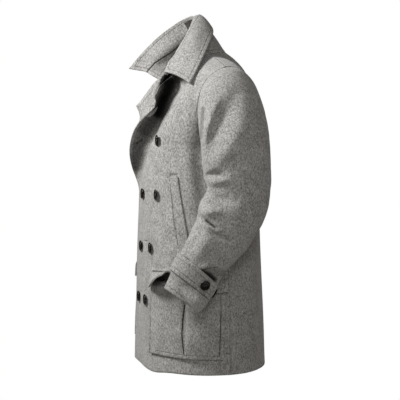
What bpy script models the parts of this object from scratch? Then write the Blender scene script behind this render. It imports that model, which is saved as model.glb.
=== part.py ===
"""Loden jacket: a double-breasted wool car coat that keeps the shape of a wearer.

Metres, +Z up. The jacket faces -Y and +X is its left. The origin is at the back of the neck opening's
level, on the body's middle line. Cloth pieces are surfaces of rows and columns with a real wall.
"""
import math

import bmesh
import bpy
from mathutils import Matrix, Vector

# ---------------------------------------------------------------- driving sizes
SEAM_GAP = 0.0003          # clear space between two sewn pieces
CLOTH = 0.003              # body and sleeve cloth
DOUBLED = 0.005            # the collar and straps are two layers
FLAP_THICK = 0.004
UNDERARM_Z = -0.252
SIDE_SHARE = 0.53          # the side seam's place round half the girth, from the front
SECTION_POWER = 2.3        # squareness of the body's level sections

# level sections of the body: level, half width, front depth, back depth
BODY_RINGS = (
    (-0.814, 0.255, 0.172, 0.162),
    (-0.700, 0.252, 0.169, 0.157),
    (-0.560, 0.247, 0.165, 0.150),
    (-0.400, 0.236, 0.161, 0.144),
    (-0.320, 0.227, 0.159, 0.144),
    (-0.252, 0.214, 0.156, 0.147),
)
HEM_LEVELS = (-0.814, -0.778, -0.735, -0.695, -0.650, -0.605, -0.560, -0.515, -0.470, -0.430, -0.395)
LAPEL_LEVELS = (-0.360, -0.336, -0.312, -0.288, -0.268, -0.252)

# the front edge and the roll, as arc lengths from the middle, + towards the piece's own side:
# level, roll, edge, how far the edge stands out
LEFT_OPENING = (
    (-0.814, 0.006, -0.024, 0.000),
    (-0.360, 0.006, -0.024, 0.000),
    (-0.336, 0.014, -0.014, 0.010),
    (-0.312, 0.026, -0.002, 0.021),
    (-0.288, 0.044, 0.014, 0.031),
    (-0.268, 0.062, 0.029, 0.037),
    (-0.252, 0.075, 0.042, 0.041),
)
RIGHT_OPENING = (
    (-0.814, -0.110, -0.140, 0.000),
    (-0.360, -0.110, -0.140, 0.000),
    (-0.336, -0.098, -0.130, 0.000),
    (-0.312, -0.078, -0.112, 0.000),
    (-0.288, -0.056, -0.090, 0.000),
    (-0.268, -0.034, -0.062, 0.000),
    (-0.252, -0.010, -0.036, 0.004),
)
LAP_END = 0.195            # arc where the left front comes to lie on the body again
LAP_RAMP = 0.045
LAP_STAND = 0.0042
# above the underarm level: the roll's line and the lapel's edge, up to the notch
LEFT_LAPEL = (
    # roll x, y, z          edge x, y, z
    (0.087, -0.141, -0.218, 0.076, -0.196, -0.212),
    (0.100, -0.124, -0.184, 0.103, -0.176, -0.178),
    (0.107, -0.112, -0.144, 0.127, -0.143, -0.152),
    (0.105, -0.103, -0.104, 0.132, -0.145, -0.136),
    (0.092, -0.108, -0.066, 0.137, -0.149, -0.120),
)
RIGHT_LAPEL = (
    (0.030, -0.146, -0.218, 0.036, -0.172, -0.216),
    (0.046, -0.131, -0.184, 0.084, -0.150, -0.186),
    (0.058, -0.112, -0.140, 0.114, -0.140, -0.160),
    (0.062, -0.094, -0.068, 0.137, -0.149, -0.134),
)
# the neckline from the notch to the middle of the back
NECK_POINT = Vector((0.078, 0.002, -0.008))
NECK_FRONT = ((0.092, -0.108, -0.066), (0.089, -0.080, -0.038), (0.084, -0.042, -0.020), (0.078, 0.002, -0.008))
RIGHT_NECK_FRONT = ((0.062, -0.094, -0.068), (0.078, -0.072, -0.042), (0.084, -0.042, -0.020),
                    (0.078, 0.002, -0.008))
NECK_BACK = ((0.078, 0.002, -0.008), (0.070, 0.034, -0.002), (0.042, 0.060, 0.003), (0.000, 0.069, 0.005))
SHOULDER_TIP = Vector((0.225, 0.011, -0.052))
# the armhole, from the shoulder tip down to the underarm
ARMHOLE_FRONT = (
    (0.225, 0.011, -0.052),
    (0.219, -0.018, -0.066),
    (0.211, -0.043, -0.094),
    (0.204, -0.055, -0.140),
    (0.203, -0.052, -0.190),
    (0.207, -0.034, -0.228),
)
ARMHOLE_BACK = (
    (0.225, 0.011, -0.052),
    (0.222, 0.046, -0.054),
    (0.214, 0.078, -0.078),
    (0.205, 0.093, -0.120),
    (0.203, 0.092, -0.170),
    (0.207, 0.068, -0.225),
)
ARMHOLE_STEPS = 10         # mesh steps down each side of the armhole
LAPEL_STEPS = 6            # of these, the rows that carry the lapel
CHEST_COLUMNS = 12
LAPEL_COLUMNS = 5
BACK_COLUMNS = 16
NECK_COLUMNS = 3           # of half the back's columns, those that end on the neckline

# sleeves below the cap: centre x, y, z, half depth front to back, half width, tilt forward in degrees
LEFT_SLEEVE = (
    (0.292, 0.019, -0.268, 0.087, 0.064, 0.0),
    (0.299, 0.021, -0.315, 0.084, 0.064, -1.0),
    (0.304, 0.022, -0.360, 0.079, 0.064, 3.0),
    (0.308, 0.010, -0.404, 0.079, 0.063, 14.0),
    (0.310, -0.012, -0.447, 0.073, 0.061, 27.0),
    (0.308, -0.040, -0.487, 0.067, 0.057, 34.0),
    (0.305, -0.0685, -0.528, 0.0600, 0.053, 40.0),
    (0.298, -0.090, -0.572, 0.0590, 0.047, 39.0),
    (0.285, -0.117, -0.617, 0.0495, 0.042, 36.5),
)
RIGHT_SLEEVE = (
    (0.292, 0.015, -0.268, 0.085, 0.064, 0.0),
    (0.299, 0.020, -0.315, 0.083, 0.065, 0.0),
    (0.306, 0.022, -0.365, 0.081, 0.064, 1.0),
    (0.312, 0.019, -0.415, 0.078, 0.063, 6.0),
    (0.318, 0.010, -0.465, 0.074, 0.060, 11.0),
    (0.322, -0.002, -0.515, 0.068, 0.056, 14.0),
    (0.323, -0.014, -0.565, 0.063, 0.051, 14.0),
    (0.321, -0.026, -0.615, 0.058, 0.046, 14.0),
    (0.317, -0.038, -0.665, 0.053, 0.042, 14.0),
)
CAP_ROWS = 5
ARM_ROWS = 18
CAP_PUFF = 0.115           # how strongly the cap leaves the shoulder
CAP_DROP = 0.22            # how strongly it turns down into the arm

# the collar, from the left notch round the back to the right notch:
# share of the seam, crest x, y, z, outer edge x, y, z, roundness below and above the crest
COLLAR = (
    (0.00, 0.096, -0.113, -0.060, 0.178, -0.068, -0.093, 0.002, 0.006),
    (0.14, 0.082, -0.096, -0.028, 0.164, -0.050, -0.066, 0.004, 0.010),
    (0.29, 0.066, -0.068, 0.010, 0.138, -0.026, -0.026, 0.008, 0.012),
    (0.40, 0.043, -0.038, 0.053, 0.092, 0.002, 0.018, 0.010, 0.010),
    (0.50, 0.008, -0.010, 0.101, 0.034, 0.024, 0.064, 0.010, 0.008),
    (0.60, -0.038, 0.006, 0.080, -0.040, -0.009, 0.108, 0.008, 0.004),
    (0.71, -0.072, -0.046, 0.038, -0.082, -0.067, 0.076, 0.006, 0.002),
    (0.86, -0.089, -0.104, -0.012, -0.112, -0.123, 0.024, 0.004, 0.000),
    (1.00, -0.100, -0.130, -0.042, -0.130, -0.170, -0.032, 0.002, 0.000),
)
COLLAR_COLUMNS = 28
COLLAR_PLACES = (0.0, 0.15, 0.29, 0.40, 0.47, 0.53, 0.60, 0.72, 0.86, 1.0)
LABEL_SHARE = (0.615, 0.65)
LABEL_RISE = (0.66, 0.88)

# lower patch pocket, as arc lengths from the middle of the front and levels
POCKET_SIDES = (0.128, 0.343)
POCKET_LEVELS = (-0.774, -0.586)
PATCH_GAP = 0.0011         # a patch's clear space over the front
POCKET_BELLY = 0.006       # how far the pocket's middle stands off the front
PLEAT_ARC = 0.2470
PLEAT_HALF = 0.0075
PLEAT_FLOOR = 0.0030        # half the flat bottom of the pleat's groove
PLEAT_DEPTH = 0.0040
FLAP_LEVEL = -0.556
# the left flap: share of its length, drop, lift from hanging in degrees
LEFT_FLAP = (
    (0.00, 0.050, 4.0),
    (0.09, 0.048, 12.0),
    (0.18, 0.045, 32.0),
    (0.27, 0.040, 58.0),
    (0.36, 0.033, 84.0),
    (0.46, 0.029, 66.0),
    (0.58, 0.036, 8.0),
    (0.75, 0.050, 2.0),
    (1.00, 0.050, 4.0),
)
RIGHT_FLAP = (
    (0.00, 0.053, 2.0),
    (0.50, 0.053, 2.0),
    (1.00, 0.053, 3.0),
)
# hand-warmer pocket: level, arc length of its slit
WELT_SLIT = ((-0.3245, 0.2010), (-0.512, 0.2515))
WELT_WIDTH = 0.0240
WELT_THICK = 0.0025

# front buttons: level, arc of the front's own button, arc of the one that comes through its buttonhole
BUTTON_ROWS = (
    (-0.233, 0.122, 0.122),
    (-0.371, 0.130, -0.044),
    (-0.508, 0.107, -0.040),
    (-0.643, 0.092, -0.028),
)
BUTTON_RADIUS = 0.0140
CUFF_BUTTON_RADIUS = 0.0120
BUTTON_THICK = 0.0042
BUTTON_SIDES = 14

# cuff strap: distance from the cuff's end, width, first and last angle round the sleeve
STRAP_GAP = 0.0008
STRAP_RISE = 0.043
STRAP_WIDTH = 0.042
STRAP_ANGLES = (48.0, 236.0)
STRAP_COLUMNS = 14


# ---------------------------------------------------------------- curves and tables
def smooth(points, place):
    """A point on the smooth curve through points, at place from 0 to 1."""
    points = [Vector(p) for p in points]
    last = len(points) - 1
    step = min(max(place, 0.0), 1.0) * last
    i = min(int(step), last - 1)
    t = step - i
    before = points[i - 1] if i > 0 else 2 * points[0] - points[1]
    after = points[i + 2] if i + 2 <= last else 2 * points[last] - points[last - 1]
    a, b = points[i], points[i + 1]
    return 0.5 * (2 * a + (b - before) * t + (2 * before - 5 * a + 4 * b - after) * t * t
                  + (3 * a - before - 3 * b + after) * t ** 3)


def even(points, steps, fine=24):
    """steps + 1 points at even distances along the smooth curve through points."""
    dense = [smooth(points, k / (fine * (len(points) - 1))) for k in range(fine * (len(points) - 1) + 1)]
    return even_on_line(dense, [k / steps for k in range(steps + 1)])


def even_on_line(line, shares):
    """Points at the given shares of a polyline's length."""
    run = [0.0]
    for a, b in zip(line, line[1:]):
        run.append(run[-1] + (b - a).length)
    found = []
    i = 0
    for share in shares:
        target = share * run[-1]
        while i < len(run) - 2 and run[i + 1] < target:
            i += 1
        span = max(run[i + 1] - run[i], 1e-9)
        found.append(line[i].lerp(line[i + 1], min(max((target - run[i]) / span, 0.0), 1.0)))
    return found


def read(table, key):
    """The other columns of a table at a value of its first column, joined smoothly."""
    rows = sorted(table)
    key = min(max(key, rows[0][0]), rows[-1][0])
    i = max(k for k in range(len(rows) - 1) if rows[k][0] <= key)
    low, high = rows[i], rows[i + 1]
    span = high[0] - low[0]
    t = (key - low[0]) / span
    values = []
    for c in range(1, len(low)):
        slope = (high[c] - low[c]) / span
        left = slope if i == 0 else (high[c] - rows[i - 1][c]) / (high[0] - rows[i - 1][0])
        right = slope if i + 2 == len(rows) else (rows[i + 2][c] - low[c]) / (rows[i + 2][0] - low[0])
        values.append(low[c] * (1 + 2 * t) * (1 - t) ** 2 + high[c] * t * t * (3 - 2 * t)
                      + span * (left * t * (1 - t) ** 2 - right * t * t * (1 - t)))
    return values


def own(point, side):
    """A point given for the left side, moved to the side asked for."""
    return Vector((point[0] * side, point[1], point[2]))


# ---------------------------------------------------------------- the body's level sections
SECTION_CACHE = {}


def section(z):
    """Half a level section from the front's middle to the back's, and its running length."""
    key = round(z, 5)
    if key not in SECTION_CACHE:
        half_width, front, back = read(BODY_RINGS, z)
        outline = []
        for k in range(241):
            angle = math.pi * k / 240
            x = half_width * math.sin(angle) ** (2 / SECTION_POWER) if 0 < k < 240 else 0.0
            depth = front if k < 120 else back
            y = -math.copysign(depth * abs(math.cos(angle)) ** (2 / SECTION_POWER), math.cos(angle))
            outline.append(Vector((x, y, z)))
        run = [0.0]
        for a, b in zip(outline, outline[1:]):
            run.append(run[-1] + (b - a).length)
        SECTION_CACHE[key] = outline, run
    return SECTION_CACHE[key]


def on_section(z, arc):
    """The point at an arc length from the front's middle, for the left half."""
    outline, run = section(z)
    arc = min(max(arc, 0.0), run[-1])
    low, high = 0, len(run) - 1
    while high - low > 1:
        middle = (low + high) // 2
        if run[middle] <= arc:
            low = middle
        else:
            high = middle
    return outline[low].lerp(outline[high], (arc - run[low]) / (run[high] - run[low]))


def body(z, arc, out=0.0):
    """A point of the body's surface, arc metres from the front's middle, + to the left."""
    place = own(on_section(z, abs(arc)), 1 if arc >= 0 else -1)
    if out:
        step = 0.004
        ahead, behind = body(z, arc + step), body(z, arc - step)
        along = (ahead - behind).normalized()
        place = place + Vector((along.y, -along.x, 0.0)) * out
    return place


def body_normal(z, arc):
    return (body(z, arc, 0.01) - body(z, arc)).normalized()


def side_arc(z):
    return SIDE_SHARE * section(z)[1][-1]


def lap_out(side, arc):
    """The left front lies over the right one: how far it stands off there."""
    if side < 0:
        return 0.0
    share = min(max((LAP_END - arc) / LAP_RAMP, 0.0), 1.0)
    return LAP_STAND * share * share * (3 - 2 * share)


# ---------------------------------------------------------------- meshes
def material(name, colour, roughness):
    made = bpy.data.materials.new(name)
    made.use_nodes = True
    shader = made.node_tree.nodes["Principled BSDF"]
    shader.inputs["Base Color"].default_value = (*colour, 1.0)
    shader.inputs["Roughness"].default_value = roughness
    shader.inputs["Metallic"].default_value = 0.0
    return made


def add(name, mesh, finish):
    mesh.materials.append(finish)
    made = bpy.data.objects.new(name, mesh)
    bpy.context.scene.collection.objects.link(made)
    return made


def facing(rows, i, j, closed):
    """The direction the cloth faces at a point of its grid."""
    def at(a, b):
        b = b % len(rows[0]) if closed else b
        if 0 <= a < len(rows) and 0 <= b < len(rows[0]):
            return rows[a][b]
        return None

    def step(di, dj):
        here = rows[i][j]
        for sign in (1, -1):
            ahead, behind = at(i + sign * di, j + sign * dj), at(i - sign * di, j - sign * dj)
            further = at(i + sign * 2 * di, j + sign * 2 * dj)
            if ahead is not None and behind is not None:
                return (ahead - behind) * sign
            if ahead is not None:
                return (4 * ahead - 3 * here - further if further is not None else ahead - here) * sign
        return Vector()
    return step(0, 1).cross(step(1, 0)).normalized()


def cloth(name, rows, thick, finish, closed=False, flip=False, seams=None):
    """A closed wall whose outer face runs through rows of points. None leaves a place open.

    seams gives the way the wall faces at points of a shared seam, so two pieces meet there in one plane.
    """
    number, places = {}, []
    for i, row in enumerate(rows):
        for j, place in enumerate(row):
            if place is not None:
                number[i, j] = len(places)
                places.append(place)
    count = len(places)
    for (i, j) in number:
        way = facing(rows, i, j, closed) * (-1 if flip else 1)
        if seams and (i, j) in seams:
            way = seams[i, j]
        places.append(rows[i][j] - way * thick)
    faces = []
    width = len(rows[0])
    for i in range(len(rows) - 1):
        for j in range(width if closed else width - 1):
            ring = [number.get(key) for key in ((i, j), (i, (j + 1) % width), (i + 1, (j + 1) % width), (i + 1, j))]
            if None not in ring:
                faces.append(ring[::-1] if flip else ring)
    edges = {(ring[k - 1], ring[k]) for ring in faces for k in range(4)}
    rims = [(b, a, a + count, b + count) for a, b in sorted(edges) if (b, a) not in edges]
    inner = [[corner + count for corner in reversed(ring)] for ring in faces]
    mesh = bpy.data.meshes.new(name)
    mesh.from_pydata(places, [], faces + inner + rims)
    mesh.update()
    mesh.shade_smooth()
    return add(name, mesh, finish)


def turned(name, profile, centre, axis, finish, sides=BUTTON_SIDES):
    """A round piece: profile rows of radius and height, from the back's middle to the front's."""
    turn = Vector((0, 0, 1)).rotation_difference(axis).to_matrix().to_4x4()
    place = Matrix.Translation(centre) @ turn
    bm = bmesh.new()
    line = [bm.verts.new((radius, 0.0, height)) for radius, height in profile]
    edges = [bm.edges.new(pair) for pair in zip(line, line[1:])]
    bmesh.ops.spin(bm, geom=line + edges, cent=(0, 0, 0), axis=(0, 0, 1), angle=2 * math.pi,
                   steps=sides, use_merge=True)
    bmesh.ops.remove_doubles(bm, verts=bm.verts, dist=1e-6)
    bmesh.ops.recalc_face_normals(bm, faces=bm.faces)
    bm.transform(place)
    mesh = bpy.data.meshes.new(name)
    bm.to_mesh(mesh)
    bm.free()
    return add(name, mesh, finish)


# ---------------------------------------------------------------- fronts and back
def shoulder_place(share, shift):
    place = NECK_POINT.lerp(SHOULDER_TIP, share)
    return place + Vector((0.0, shift, 0.004 * math.sin(math.pi * share)))


def patch(base, left, right, top, leave, arrive):
    """Rows between four borders: columns leave base and arrive at top in the given directions."""
    rows = []
    steps = len(left) - 1
    spans = len(base) - 1
    for j in range(steps + 1):
        v = j / steps
        row = []
        for k in range(spans + 1):
            u = k / spans

            def column(i, v=v):
                return (base[i] * ((1 + 2 * v) * (1 - v) ** 2) + top[i] * (v * v * (3 - 2 * v))
                        + leave(i / spans) * (v * (1 - v) ** 2) - arrive(i / spans) * (v * v * (1 - v)))
            from_left = (left[j] - column(0)) * (1 - u) ** 2
            from_right = (right[j] - column(spans)) * u ** 2
            row.append(column(k) + from_left + from_right)
        rows.append(row)
    return rows


def seams_facing(rows, side, column, shoulder):
    """The way front and back both face on their shared side seam (column) and shoulder seam (columns)."""
    levels = HEM_LEVELS + LAPEL_LEVELS
    shared = {(i, column): own(body_normal(z, side_arc(z)), side) for i, z in enumerate(levels)}
    line = own(SHOULDER_TIP - NECK_POINT, side).normalized()
    for j in shoulder:
        shared[len(rows) - 1, j] = (Vector((0, 0, 1)) - line * line.z).normalized()
    return shared


def front(side):
    """Rows of one front with its lapel, hem first, from the front edge to the side seam."""
    opening = LEFT_OPENING if side > 0 else RIGHT_OPENING
    lapel = LEFT_LAPEL if side > 0 else RIGHT_LAPEL
    rows = []
    for z in HEM_LEVELS + LAPEL_LEVELS:
        roll, edge, stand = read(opening, z)
        row = []
        for k in range(LAPEL_COLUMNS):
            share = k / LAPEL_COLUMNS
            arc = edge + (roll - edge) * share
            curl = 0.010 * math.sin(math.pi * share) * min(stand / 0.02, 1.0)
            row.append(own(body(z, arc - curl, lap_out(side, arc) + stand * (1 - share)), side))
        for k in range(CHEST_COLUMNS + 1):
            last = side_arc(z) - SEAM_GAP / 2
            arc = roll + (last - roll) * k / CHEST_COLUMNS
            row.append(own(body(z, arc, lap_out(side, arc)), side))
        rows.append(row)
    base = [own(p, side) for p in rows[-1][LAPEL_COLUMNS:]]
    strip = [own(p, side) for p in rows[-1][:LAPEL_COLUMNS + 1]]
    roll_line = even([base[0]] + [Vector(r[:3]) for r in lapel], LAPEL_STEPS)
    neck_line = even(NECK_FRONT if side > 0 else RIGHT_NECK_FRONT, ARMHOLE_STEPS - LAPEL_STEPS)
    armhole = even([base[-1]] + [Vector(p) for p in reversed(ARMHOLE_FRONT)], ARMHOLE_STEPS)
    top = [shoulder_place(k / CHEST_COLUMNS, -SEAM_GAP / 2) for k in range(CHEST_COLUMNS + 1)]
    left = roll_line + neck_line[1:]
    left[-1], armhole[-1] = top[0], top[-1]
    chest = patch(base, left, armhole, top,
                  lambda u: Vector((-0.03 * u, 0.0, 0.27)),
                  lambda u: Vector((0.0, 0.23 - 0.08 * u, 0.08 + 0.04 * u)))
    edge_line = even([strip[0]] + [Vector(r[3:]) for r in lapel], LAPEL_STEPS)
    for j in range(1, ARMHOLE_STEPS + 1):
        row = [None] * LAPEL_COLUMNS
        if j <= LAPEL_STEPS:
            roll, edge = chest[j][0], edge_line[j]
            swing = (roll - chest[j][1]).normalized() * 0.011
            bend = roll + swing * (1 if j < LAPEL_STEPS else 0.2)
            for k in range(LAPEL_COLUMNS):
                t = k / LAPEL_COLUMNS
                row[k] = own(edge * (1 - t) ** 2 + bend * (2 * t * (1 - t)) + roll * t * t, side)
        rows.append(row + [own(p, side) for p in chest[j]])
    return rows


def back():
    """Rows of the back, hem first, from the right side seam to the left one."""
    half = BACK_COLUMNS // 2
    rows = []
    for z in HEM_LEVELS + LAPEL_LEVELS:
        middle = section(z)[1][-1]
        side = side_arc(z) + SEAM_GAP / 2
        left = [body(z, middle + (side - middle) * k / half) for k in range(half + 1)]
        rows.append([own(p, -1) for p in reversed(left[1:])] + left)
    base = rows[-1][half:]
    neck_line = even(list(reversed(NECK_BACK)), NECK_COLUMNS)
    top = neck_line[:-1] + [shoulder_place(k / (half - NECK_COLUMNS), SEAM_GAP / 2)
                            for k in range(half - NECK_COLUMNS + 1)]
    armhole = even([base[-1]] + [Vector(p) for p in reversed(ARMHOLE_BACK)], ARMHOLE_STEPS)
    armhole[-1] = top[-1]
    straight = [base[0].lerp(top[0], j / ARMHOLE_STEPS) for j in range(ARMHOLE_STEPS + 1)]

    def arrive(u):
        share = min(u * half / NECK_COLUMNS, 1.0)
        return Vector((0.0, -0.20 - 0.10 * share + 0.16 * max(u - 0.5, 0), 0.20 - 0.20 * share))

    def leave(u):
        return Vector((-0.02 * u, 0.04 * (1 - u), 0.34))
    for j in range(ARMHOLE_STEPS + 1):
        v = j / ARMHOLE_STEPS
        straight[j] = (base[0] * ((1 + 2 * v) * (1 - v) ** 2) + top[0] * (v * v * (3 - 2 * v))
                       + leave(0) * (v * (1 - v) ** 2) - arrive(0) * (v * v * (1 - v)))
    upper = patch(base, straight, armhole, top, leave, arrive)
    for row in upper[1:]:
        rows.append([own(p, -1) for p in reversed(row[1:])] + row)
    return rows


def armhole_ring(side):
    """The sleeve's first ring: underarm, up the front, over the tip and down the back."""
    base = body(UNDERARM_Z, side_arc(UNDERARM_Z))
    rise = even([base] + [Vector(p) for p in reversed(ARMHOLE_FRONT)], ARMHOLE_STEPS)
    fall = even([base] + [Vector(p) for p in reversed(ARMHOLE_BACK)], ARMHOLE_STEPS)
    return [own(p, side) for p in rise + list(reversed(fall))[1:-1]]


# ---------------------------------------------------------------- sleeves
def arm_frame(side, share):
    """Centre, half sizes and the two cross directions of a sleeve at a share of its arm."""
    table = LEFT_SLEEVE if side > 0 else RIGHT_SLEEVE
    low = smooth([row[:3] for row in table], share)
    half_depth, half_width, tilt = smooth([row[3:] for row in table], share)
    tilt = math.radians(tilt)
    return low, half_depth, half_width, Vector((0.0, math.cos(tilt), -math.sin(tilt)))


def arm(side, share, angle, out=0.0):
    """A point of the sleeve: angle 0 is inside, 90 in front, 180 outside, in degrees."""
    centre, half_depth, half_width, across = arm_frame(side, share)
    turn = math.radians(angle)
    place = centre - Vector((1, 0, 0)) * (math.cos(turn) * (half_width + out))
    return own(place - across * (math.sin(turn) * (half_depth + out)), side)


def sleeve(side):
    ring = armhole_ring(1)
    count = len(ring)
    middle = sum(ring, Vector()) / count
    rows = [[p + Vector((SEAM_GAP, 0, 0)) for p in ring]]
    ends = [arm(1, 0.0, 360 * k / count) if side > 0 else own(arm(-1, 0.0, 360 * k / count), -1)
            for k in range(count)]
    for j in range(1, CAP_ROWS + 1):
        v = j / CAP_ROWS
        row = []
        for k in range(count):
            high = 0.5 - 0.5 * math.cos(2 * math.pi * k / count)
            away = Vector((0.30 + 0.70 * high, 0.0, 0.0)) * CAP_PUFF
            away += (ring[k] - middle) * (0.25 + 0.15 * high)
            down = Vector((0.0, 0.0, -1.0)) * (0.03 + CAP_DROP * high)
            row.append(ring[k] * ((1 + 2 * v) * (1 - v) ** 2) + ends[k] * (v * v * (3 - 2 * v))
                       + away * (v * (1 - v) ** 2) - down * (v * v * (1 - v)))
        rows.append(row)
    rows = [[own(p, side) for p in row] for row in rows]
    for j in range(1, ARM_ROWS + 1):
        rows.append([arm(side, j / ARM_ROWS, 360 * k / count) for k in range(count)])
    return rows


def arm_share(side, rise):
    """The share of the arm that lies rise metres above the cuff's end, along the sleeve's middle."""
    share, run, here = 1.0, 0.0, arm_frame(side, 1.0)[0]
    while run < rise:
        share -= 0.002
        there = arm_frame(side, share)[0]
        run += (there - here).length
        here = there
    return share + 0.002 * (run - rise) / 0.0008


def strap(side):
    """Rows of the cuff strap, lower edge first, with a blunt point at its free end."""
    rows = []
    for rise in (0.0, 0.25, 0.5, 0.75, 1.0):
        row = []
        share = arm_share(side, STRAP_RISE + STRAP_WIDTH * rise)
        for k in range(STRAP_COLUMNS + 1):
            t = k / STRAP_COLUMNS
            point_in = 5.0 * abs(rise - 0.5) * 2 if k == STRAP_COLUMNS else 0.0
            angle = STRAP_ANGLES[0] + (STRAP_ANGLES[1] - STRAP_ANGLES[0]) * t - point_in
            row.append(arm(side, share, angle, STRAP_GAP + DOUBLED))
        rows.append(row)
    return rows


def cuff_button(side, angle, out):
    """Where a cuff button sits on the strap's middle line, and which way it faces."""
    share = arm_share(side, STRAP_RISE + STRAP_WIDTH / 2)
    here = arm(side, share, angle, out)
    along = arm(side, share, angle + 4, out) - arm(side, share, angle - 4, out)
    up = arm(side, share - 0.02, angle, out) - arm(side, share + 0.02, angle, out)
    normal = along.cross(up).normalized()
    if (here - own(arm_frame(side, share)[0], side)).dot(normal) < 0:
        normal = -normal
    return here, normal


# ---------------------------------------------------------------- collar
def neck_seam():
    """The collar's seam from the left notch to the right one, on the bodies' own points."""
    behind = even(NECK_BACK, NECK_COLUMNS)
    left = even(NECK_FRONT, ARMHOLE_STEPS - LAPEL_STEPS)[:-1] + behind
    right = even(RIGHT_NECK_FRONT, ARMHOLE_STEPS - LAPEL_STEPS)[:-1] + behind[:-1]
    return left + [own(p, -1) for p in reversed(right)]


def collar_line(share, seam):
    """The collar's cut across at a share of its seam: seam, crest and outer edge."""
    cx, cy, cz, ex, ey, ez, low, high = read(COLLAR, share)
    crest, edge = Vector((cx, cy, cz)), Vector((ex, ey, ez))
    outward = Vector((seam.x, seam.y, 0.0)).normalized()
    rise = (crest - seam).normalized()
    start = seam + rise * 0.0005
    first = start.lerp(crest, 0.5) + outward * low
    second = crest.lerp(edge, 0.5) + Vector((0, 0, 1)) * high
    return [start, first, crest, second, edge]


def collar():
    seam = neck_seam()
    columns = []
    for k in range(COLLAR_COLUMNS + 1):
        place = k / COLLAR_COLUMNS
        step = place * (len(seam) - 1)
        i = min(int(step), len(seam) - 2)
        root = seam[i].lerp(seam[i + 1], step - i)
        line = collar_line(place, root)
        columns.append([smooth(line, share) for share in COLLAR_PLACES])
    return [[column[j] for column in columns] for j in range(len(COLLAR_PLACES))]


def between(rows, across, along):
    """A point and the outward direction on a grid of rows, by shares."""
    step_a, step_b = across * (len(rows) - 1), along * (len(rows[0]) - 1)
    i, j = min(int(step_a), len(rows) - 2), min(int(step_b), len(rows[0]) - 2)
    a, b = step_a - i, step_b - j
    low = rows[i][j].lerp(rows[i][j + 1], b)
    high = rows[i + 1][j].lerp(rows[i + 1][j + 1], b)
    normal = (rows[i][j + 1] - rows[i][j]).cross(rows[i + 1][j] - rows[i][j]).normalized()
    return low.lerp(high, a), normal


# ---------------------------------------------------------------- what lies on the fronts
def pocket(side):
    """Rows of a patch pocket: flat at its sewn edges, standing off in the middle, with a pleat."""
    low, high = POCKET_LEVELS
    first, last = POCKET_SIDES
    middle = PLEAT_ARC
    arcs = [first, first + 0.006, first + 0.03, first + 0.06, middle - 0.026, middle - PLEAT_HALF,
            middle - PLEAT_FLOOR, middle + PLEAT_FLOOR, middle + PLEAT_HALF, middle + 0.026,
            last - 0.055, last - 0.03, last - 0.006, last]
    rows = []
    for j in range(9):
        v = j / 8
        z = low + (high - low) * v
        row = []
        for arc in arcs:
            u = (arc - first) / (last - first)
            rise = min(v / 0.3, 1.0)
            full = (1 - abs(2 * u - 1) ** 4) * rise * rise * (3 - 2 * rise)
            out = lap_out(side, arc) + PATCH_GAP + CLOTH + POCKET_BELLY * full
            if abs(arc - middle) < PLEAT_HALF * 0.9:
                out -= PLEAT_DEPTH * full
            row.append(own(body(z, arc, out), side))
        rows.append(row)
    return rows


def flap(side):
    """Rows of a pocket flap, lower edge first; the lift turns each stretch about its seam."""
    table = LEFT_FLAP if side > 0 else RIGHT_FLAP
    first, last = POCKET_SIDES[0] - 0.003, POCKET_SIDES[1] + 0.003
    lines = []
    for k in range(13):
        share = k / 12
        drop, lift = read(table, share)
        arc = first + (last - first) * share
        base_out = lap_out(side, arc) + SEAM_GAP + FLAP_THICK
        line = []
        for j in range(6):
            run = drop * j / 5
            bend = math.radians(lift) * min(j / 2.5, 1.0)
            full = POCKET_BELLY * (1 - abs(2 * share - 1) ** 6)
            over = (CLOTH + 2.6 * PATCH_GAP + full) * min(j / 2, 1.0)
            out = base_out + over + run * math.sin(bend)
            line.append(own(body(FLAP_LEVEL - run * math.cos(bend), arc, out), side))
        lines.append(line)
    return [[line[j] for line in lines] for j in range(5, -1, -1)]


def lay_on(rows, target):
    """The point of a front's grid under a target, and the way the cloth faces there."""
    places = [(i, j) for i in range(1, len(rows) - 1) for j in range(1, len(rows[0]) - 1)
              if None not in (rows[i][j - 1], rows[i + 1][j], rows[i + 1][j - 1])]
    i, j = min(places, key=lambda place: (rows[place[0]][place[1]] - target).length)
    normal = (rows[i][j + 1] - rows[i][j - 1]).cross(rows[i + 1][j] - rows[i - 1][j]).normalized()
    normal = -normal if normal.y > 0 else normal
    return target - normal * (target - rows[i][j]).dot(normal), normal


def welt(side):
    """Rows of the hand-warmer's welt, which runs beside its slit."""
    (top_z, top_arc), (low_z, low_arc) = WELT_SLIT
    rows = []
    for j in range(7):
        v = j / 6
        z = low_z + (top_z - low_z) * v
        slit = low_arc + (top_arc - low_arc) * v
        row = []
        for k in range(4):
            arc = slit - WELT_WIDTH * (1 - k / 3)
            lift = 0.0006 * math.sin(math.pi * k / 3)
            row.append(own(body(z, arc, SEAM_GAP + WELT_THICK + lift + lap_out(side, arc)), side))
        rows.append(row)
    return rows


def button(name, centre, axis, radius, finish):
    rim = BUTTON_THICK
    profile = ((0.0, 0.0), (radius * 0.86, 0.0), (radius, rim * 0.42), (radius * 0.93, rim),
               (radius * 0.72, rim), (radius * 0.55, rim * 0.66), (0.0, rim * 0.66))
    return turned(name, profile, centre, axis, finish)


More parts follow.
